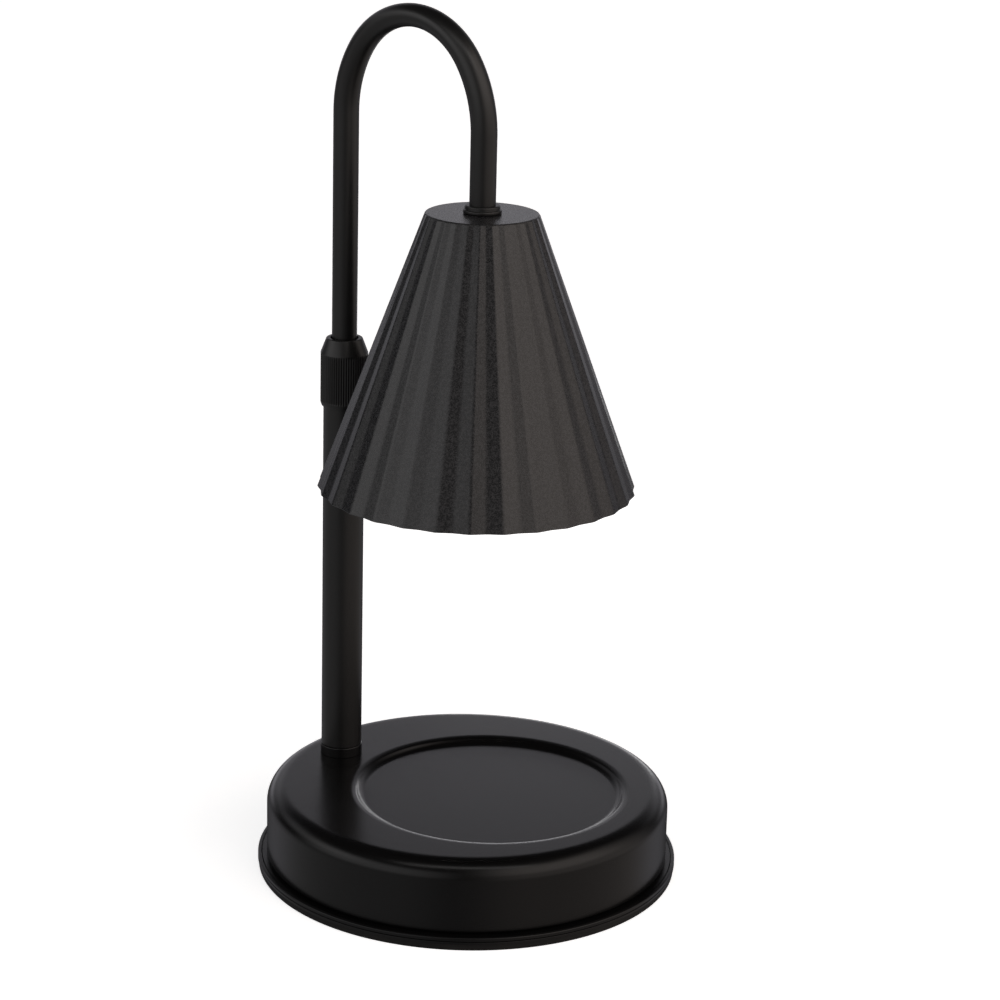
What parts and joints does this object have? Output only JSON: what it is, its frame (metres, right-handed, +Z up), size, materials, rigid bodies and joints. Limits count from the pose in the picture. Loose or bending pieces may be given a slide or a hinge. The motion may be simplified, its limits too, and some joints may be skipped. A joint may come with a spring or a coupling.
{
  "type": "candle warmer lamp",
  "caption": "Candle warmer lamp: round weighted base with a jar seat, telescopic gooseneck pole with a twist lock, and a pleated conical shade over a downward reflector bulb.",
  "frame": {"origin": "centre of the round base on the surface it stands on", "axes": "+Z up along the pole, +X from the pole's axis to the jar seat, +Y to the left of that"},
  "size_m": [0.145, 0.145, 0.2969],
  "materials": {
    "black_paint": "satin black powder coat",
    "shade_paint": "fine-textured black powder coat",
    "black_rubber": "matte",
    "cast_iron": "raw casting",
    "plain_steel": "zinc plated",
    "black_steel": "black oxide",
    "black_plastic": "moulded",
    "block_plastic": "moulded",
    "bush_plastic": "moulded",
    "brass": "turned",
    "white_ceramic": "fired, unglazed",
    "lead_sleeve": "extruded sleeve",
    "mirror_glass": "faceted mirror coat",
    "clear_glass": "clear"
  },
  "bodies": {
    "base": {"anti_slip_pad": "black_rubber", "base_tray": "black_paint", "base_shell": "black_paint", "base_posts": "plain_steel", "counterweight": "cast_iron", "tray_screws": "black_steel", "cord_gland": "black_plastic", "gland_nut": "black_plastic", "terminal_block": "block_plastic", "terminal_screws": "brass", "pole_foot_ring": "black_paint", "lower_tube": "black_paint", "pole_socket": "plain_steel", "pole_nipple": "plain_steel", "lock_washer": "plain_steel", "pole_nut": "plain_steel", "thread_sleeve": "brass", "collet": "bush_plastic", "pole_lead": "lead_sleeve"},
    "slider": {"slide_bush": "bush_plastic"},
    "arm": {"upper_tube": "black_paint", "bush_rings": "plain_steel", "arm_lead": "lead_sleeve", "shade_ring": "black_paint", "shade": "shade_paint", "shade_washer": "plain_steel", "shade_nut": "plain_steel", "holder_bracket": "plain_steel", "lampholder": "white_ceramic", "holder_contacts": "brass", "holder_screws": "plain_steel"},
    "collar": {"lock_collar": "black_paint"},
    "bulb": {"bulb_base": "white_ceramic", "bulb_pins": "plain_steel", "bulb_reflector": "mirror_glass", "bulb_lens": "clear_glass", "bulb_capsule": "clear_glass"}
  },
  "joints": [
    {"name": "height_slide", "type": "slide", "parent": "base", "child": "slider", "axis": [0, 0, 1], "range_m": [-0.0665, 0.023], "deforming": ["pole_lead"]},
    {"name": "arm_swing", "type": "hinge", "parent": "slider", "child": "arm", "pos_m": [-0.05207, 0, 0.12], "axis": [0, 0, 1], "range_deg": [-78.02, 101.98]},
    {"name": "collar_twist", "type": "hinge", "parent": "base", "child": "collar", "pos_m": [-0.05207, 0, 0.17], "axis": [0, 0, 1], "range_deg": [0, 180]},
    {"name": "bulb_twist", "type": "hinge", "parent": "arm", "child": "bulb", "pos_m": [0.00815, -0.01278, 0.19], "axis": [0, 0, -1], "range_deg": [0, 20]}
  ]
}
